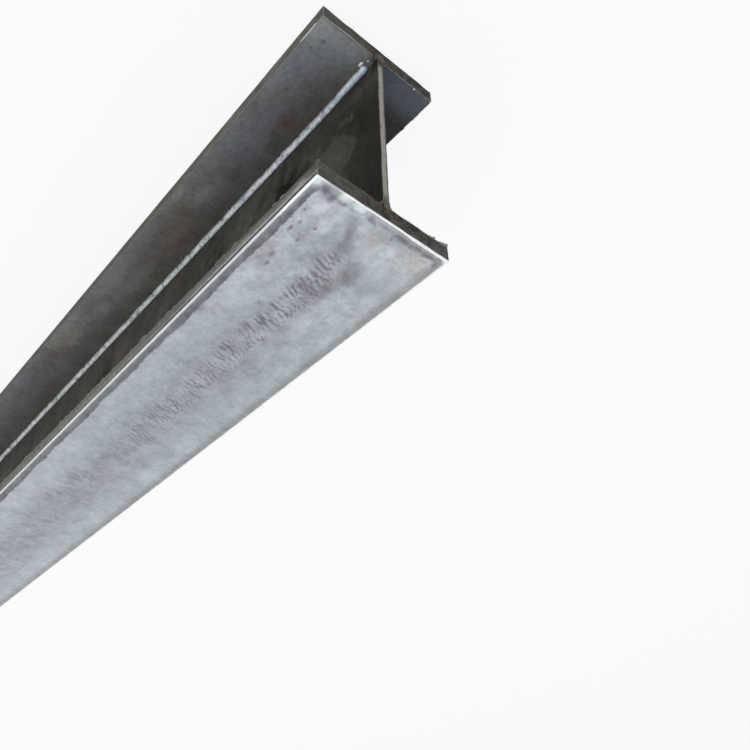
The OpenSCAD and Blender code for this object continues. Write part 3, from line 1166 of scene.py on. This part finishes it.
def corner_turn(side, upper):
    """Carries a bead made at the origin into its inner corner of the beam."""
    level = UPPER_INNER if upper else FLANGE_T
    flip = Matrix.Diagonal((1.0, side, -1.0 if upper else 1.0, 1.0))
    return Matrix.Translation((0.0, side * HALF_WEB, level)) @ flip


class HBEAM_OT_weld_beads(bpy.types.Operator):
    """Build the rippled fillet weld in each inner corner"""

    bl_idname = "hbeam.weld_beads"
    bl_label = "Weld beads"

    def execute(self, context):
        sizes = context.scene.h_beam_sizes
        for number, (node, (side, upper)) in enumerate(BEADS.items()):
            bm = bead_skin(sizes, BEAD_SEED + BEAD_SEED_STEP * number)
            bmesh.ops.transform(bm, matrix=corner_turn(side, upper), verts=bm.verts)
            place_piece(node + "_bead", bm, (weld_bead,), WELD_SLOT, node)
        return {"FINISHED"}


SPATTER_PER_BEAD = 46
SPATTER_REACH = 0.03
SPATTER_SEED = 23
SPATTER_RADII = (0.5, 1.2)
SPATTER_ON_FLANGE = 0.7
SPATTER_FLATNESS = 0.55
END_DROP_FLATNESS = 0.7
# Drops beside the near end of a bead, in millimetres: from the end, across, half length, half width
BRIGHT_DROPS = ((21.3, -16.5, 4.6, 2.6), (11.2, -11.8, 1.6, 1.5), (1.6, 66.0, 1.4, 1.8))
DULL_DROPS = ((8.0, -8.0, 1.8, 1.8), (1.5, -15.5, 1.5, 1.6), (33.0, -18.0, 4.5, 1.6), (8.4, 27.0, 1.4, 1.2))
# Burnt lumps at the cut, in millimetres: out of the cut, across, up from the flange, then three half sizes
LOWER_LUMPS = (
    (0.2, -1.5, -3.0, 2.4, 8.0, 8.5), (-1.0, -8.5, 1.2, 3.4, 3.6, 2.6), (-1.0, 6.5, 1.0, 2.6, 4.0, 2.6),
)
UPPER_LUMPS = (
    (0.2, -0.5, -4.0, 2.2, 5.6, 8.5), (0.0, 4.0, 1.5, 1.6, 5.0, 3.6), (-1.0, -6.5, -2.0, 2.0, 3.0, 3.0),
)
LUMP_ROUGHNESS = 0.36
# Unevenness of a lump, broad and fine: its share, its seed for each metre across and its waves
LUMP_WAVES = ((1.0, 900.0, 1.7), (0.6, 700.0, 4.6))
# How finely rough, smooth and small drops are divided
ROUGH_DROP, SMOOTH_DROP, SMALL_DROP = 4, 2, 1


def add_drop(bm, centre, radii, fineness, roughness=0.0):
    """Adds a rounded drop with three half sizes, uneven where a roughness is given."""
    grown = bmesh.ops.create_icosphere(bm, subdivisions=fineness, radius=1.0)
    for vert in grown["verts"]:
        swell = 1.0
        for share, seed, waves in LUMP_WAVES:
            swell += share * roughness * wavy(centre.y * seed, *(vert.co * waves))
        vert.co = centre + Vector(a * b * swell for a, b in zip(vert.co, radii))


def add_end_drops(bm, wanted):
    """Adds drops that lie on the lower flange near the end in view."""
    for along, across, half_long, half_wide in wanted:
        centre = Vector((NEAR_END + along * MM, across * MM, FLANGE_T))
        low = half_wide * END_DROP_FLATNESS * MM
        add_drop(bm, centre, (half_long * MM, half_wide * MM, low), SMOOTH_DROP)


class HBEAM_OT_spatter(bpy.types.Operator):
    """Build the drops of spatter beside the beads and the burnt lumps at their ends"""

    bl_idname = "hbeam.spatter"
    bl_label = "Spatter and slag"

    def execute(self, context):
        dice = random.Random(SPATTER_SEED)
        drops = bmesh.new()
        for side, upper in BEADS.values():
            turn = corner_turn(side, upper)
            for _ in range(SPATTER_PER_BEAD):
                along = dice.uniform(-BEAD_HALF_LENGTH, BEAD_HALF_LENGTH)
                out = BEAD_LEG + SPATTER_REACH * dice.random() ** 2 + MM
                radius = dice.uniform(*SPATTER_RADII) * MM
                low = radius * SPATTER_FLATNESS
                if dice.random() < SPATTER_ON_FLANGE:
                    add_drop(drops, turn @ Vector((along, out, 0.0)), (radius, radius, low), SMALL_DROP)
                else:
                    add_drop(drops, turn @ Vector((along, 0.0, out)), (radius, low, radius), SMALL_DROP)
        add_end_drops(drops, BRIGHT_DROPS)
        place_piece("weld_spatter_drops", drops, (spatter_bead,), WELD_SLOT)
        dull = bmesh.new()
        add_end_drops(dull, DULL_DROPS)
        place_piece("weld_dull_drops", dull, (dull_arris,), WELD_SLOT)
        lumps = bmesh.new()
        for end in (-1, 1):
            for level, wanted in ((FLANGE_T, LOWER_LUMPS), (UPPER_INNER, UPPER_LUMPS)):
                for out, across, up, *radii in wanted:
                    centre = Vector((end * (HALF_LENGTH + out * MM), across * MM, level + up * MM))
                    add_drop(lumps, centre, [r * MM for r in radii], ROUGH_DROP, LUMP_ROUGHNESS)
        place_piece("weld_end_slag", lumps, (burnt_slag,), WELD_SLOT)
        return {"FINISHED"}


DROSS_SEED = 41
# A drop's least share of the largest and, in half sizes, its sink, its hang, its lengths and its height
DROSS_LEAST, DROSS_SINK, DROSS_HANG = 0.25, 0.6, 0.3
DROSS_LENGTHS = (2.0, 5.0)
DROSS_HEIGHT = 0.75
# Drops along the inner edges of each flange: level, way they hang, how many, largest half size in millimetres
DROSS_RUNS = ((UPPER_INNER, -1, 260, 3.0), (FLANGE_T, 1, 90, 1.4))
# Burr lumps under the upper flange, in millimetres: out of the cut, across, up, then three half sizes
BURR_LUMPS = (
    (0.0, 97.0, -2.5, 2.2, 2.4, 2.6), (0.3, 92.5, -1.0, 1.8, 2.6, 2.2), (0.0, 87.0, 0.0, 1.6, 2.4, 1.5),
    (0.3, 75.5, 0.0, 1.6, 2.2, 2.0), (0.0, 70.0, 0.5, 1.2, 2.4, 1.2),
)


class HBEAM_OT_edge_dross(bpy.types.Operator):
    """Build the drops and the burr that flame cutting leaves along the inner edges of the flanges"""

    bl_idname = "hbeam.edge_dross"
    bl_label = "Edge dross"

    def execute(self, context):
        dice = random.Random(DROSS_SEED)
        bm = bmesh.new()
        for level, hang, count, largest in DROSS_RUNS:
            for side in (-1, 1):
                for _ in range(count):
                    size = (DROSS_LEAST + (1.0 - DROSS_LEAST) * dice.random() ** 2) * largest * MM
                    along = dice.uniform(-HALF_LENGTH, HALF_LENGTH)
                    across = side * (HALF_WIDTH - DROSS_SINK * size)
                    centre = Vector((along, across, level + hang * DROSS_HANG * size))
                    half_long = size * dice.uniform(*DROSS_LENGTHS)
                    add_drop(bm, centre, (half_long, size, size * DROSS_HEIGHT), SMALL_DROP)
        for out, across, up, *radii in BURR_LUMPS:
            centre = Vector((NEAR_END - out * MM, across * MM, UPPER_INNER + up * MM))
            add_drop(bm, centre, [r * MM for r in radii], ROUGH_DROP, LUMP_ROUGHNESS)
        place_piece("flange_edge_dross", bm, (dull_arris,), PLATE_SLOT)
        return {"FINISHED"}


def seen_directly(graph):
    """1 for what the camera sees straight, mirrored or through glass, and 0 for what only lights the beam."""
    path = graph.add("ShaderNodeLightPath").outputs
    rays = ("Is Camera Ray", "Is Glossy Ray", "Is Transmission Ray")
    straight, mirrored, through = (Value(graph, path[ray]) for ray in rays)
    return graph.math("MAXIMUM", straight, graph.math("MAXIMUM", mirrored, through))


FLOOR_TONE = (0.9, 0.9, 0.9)
FLOOR_ROUGHNESS = 0.9
# Share of plain white in what is seen of the floor
FLOOR_GLOW = 0.88


def white_floor():
    """A pale floor that looks white to the camera and in reflections, and still takes the beam's shadow."""
    coat = Coat("white_floor")
    coat.look(FLOOR_ROUGHNESS, 0.0, 0.0)
    coat.dress(FLOOR_TONE)
    plain = Value(coat, coat.tree.nodes["Principled BSDF"].outputs["BSDF"])
    glow = coat.get("Emission", "ShaderNodeEmission", {"Color": WHITE, "Strength": 1.0})
    inputs = {0: seen_directly(coat) * FLOOR_GLOW, 1: plain, 2: glow}
    blend = coat.get("Shader", "ShaderNodeMixShader", inputs)
    coat.feed(coat.tree.nodes["Material Output"].inputs["Surface"], blend)
    return coat.material


def white_sky(strength):
    """Even light all round, plain white to the camera and in reflections."""
    world = bpy.data.worlds.new("white_sky")
    world.use_nodes = True
    graph = Graph(world.node_tree)
    background = world.node_tree.nodes["Background"]
    graph.feed(background.inputs["Color"], WHITE)
    graph.feed(background.inputs["Strength"], strength + seen_directly(graph) * (1.0 - strength))
    return world


# Stage, in metres but for the sensor, which is in millimetres
LAMP_SIZE = (9.0, 4.0)
LAMP_PLACE = (0.0, -0.6, 3.4)
SENSOR_WIDTH = 36.0
CLIP_START, CLIP_END = 0.01, 200.0


class HBEAM_OT_stage(bpy.types.Operator):
    """Set the pale floor, the soft lamp, the sky and the camera"""

    bl_idname = "hbeam.stage"
    bl_label = "Stage"

    def execute(self, context):
        stage = context.scene.h_beam_stage
        bm = bmesh.new()
        bmesh.ops.create_grid(bm, x_segments=1, y_segments=1, size=stage.floor_size / 2)
        mesh = bpy.data.meshes.new("floor")
        bm.to_mesh(mesh)
        bm.free()
        mesh.materials.append(white_floor())
        floor = bpy.data.objects.new("floor", mesh)
        context.collection.objects.link(floor)
        context.scene.world = white_sky(stage.sky_strength)

        lamp = bpy.data.lights.new("soft_lamp", "AREA")
        lamp.shape = "RECTANGLE"
        lamp.size, lamp.size_y = LAMP_SIZE
        lamp.energy = stage.lamp_energy
        lamp_object = bpy.data.objects.new("soft_lamp", lamp)
        lamp_object.location = LAMP_PLACE
        context.collection.objects.link(lamp_object)

        near = Vector((NEAR_END, 0.0, 0.0))
        place = near + Vector(stage.camera_place)
        sight = near + Vector(stage.camera_aim) - place
        camera = bpy.data.cameras.new("camera")
        camera.sensor_width = SENSOR_WIDTH
        camera.lens = stage.focal_length
        camera.clip_start = CLIP_START
        camera.clip_end = CLIP_END
        camera_object = bpy.data.objects.new("camera", camera)
        turn = sight.to_track_quat("-Z", "Y").to_matrix() @ Matrix.Rotation(stage.camera_roll, 3, "Z")
        camera_object.matrix_world = Matrix.Translation(place) @ turn.to_4x4()
        context.collection.objects.link(camera_object)
        context.scene.camera = camera_object
        context.scene.view_settings.view_transform = "Standard"
        return {"FINISHED"}


OPERATORS = (
    HBEAM_OT_flange_plates, HBEAM_OT_web_plate, HBEAM_OT_weld_beads, HBEAM_OT_spatter,
    HBEAM_OT_edge_dross, HBEAM_OT_stage,
)


class HBEAM_PT_panel(bpy.types.Panel):
    """The beam's pieces, sizes and colours in the sidebar"""

    bl_label = "Welded H-beam"
    bl_idname = "HBEAM_PT_panel"
    bl_space_type = "VIEW_3D"
    bl_region_type = "UI"
    bl_category = "H-beam"

    def draw(self, context):
        for operator in OPERATORS:
            self.layout.operator(operator.bl_idname)
        scene = context.scene
        for group in (scene.h_beam_sizes, scene.h_beam_colours, scene.h_beam_stage):
            box = self.layout.box()
            for name in group.bl_rna.properties.keys():
                if name not in ("rna_type", "name"):
                    box.prop(group, name)


CLASSES = (HBeamSizes, HBeamColours, HBeamStage, *OPERATORS, HBEAM_PT_panel)


def register():
    """Adds the classes and their settings to Blender."""
    for cls in CLASSES:
        bpy.utils.register_class(cls)
    bpy.types.Scene.h_beam_sizes = bpy.props.PointerProperty(type=HBeamSizes)
    bpy.types.Scene.h_beam_colours = bpy.props.PointerProperty(type=HBeamColours)
    bpy.types.Scene.h_beam_stage = bpy.props.PointerProperty(type=HBeamStage)


def unregister():
    """Takes them out again."""
    del bpy.types.Scene.h_beam_stage
    del bpy.types.Scene.h_beam_colours
    del bpy.types.Scene.h_beam_sizes
    for cls in reversed(CLASSES):
        bpy.utils.unregister_class(cls)


def main():
    """Builds the beam and its stage."""
    register()
    bpy.ops.hbeam.flange_plates()
    bpy.ops.hbeam.web_plate()
    bpy.ops.hbeam.weld_beads()
    bpy.ops.hbeam.spatter()
    bpy.ops.hbeam.edge_dross()
    bpy.ops.hbeam.stage()


if __name__ == "__main__":
    main()
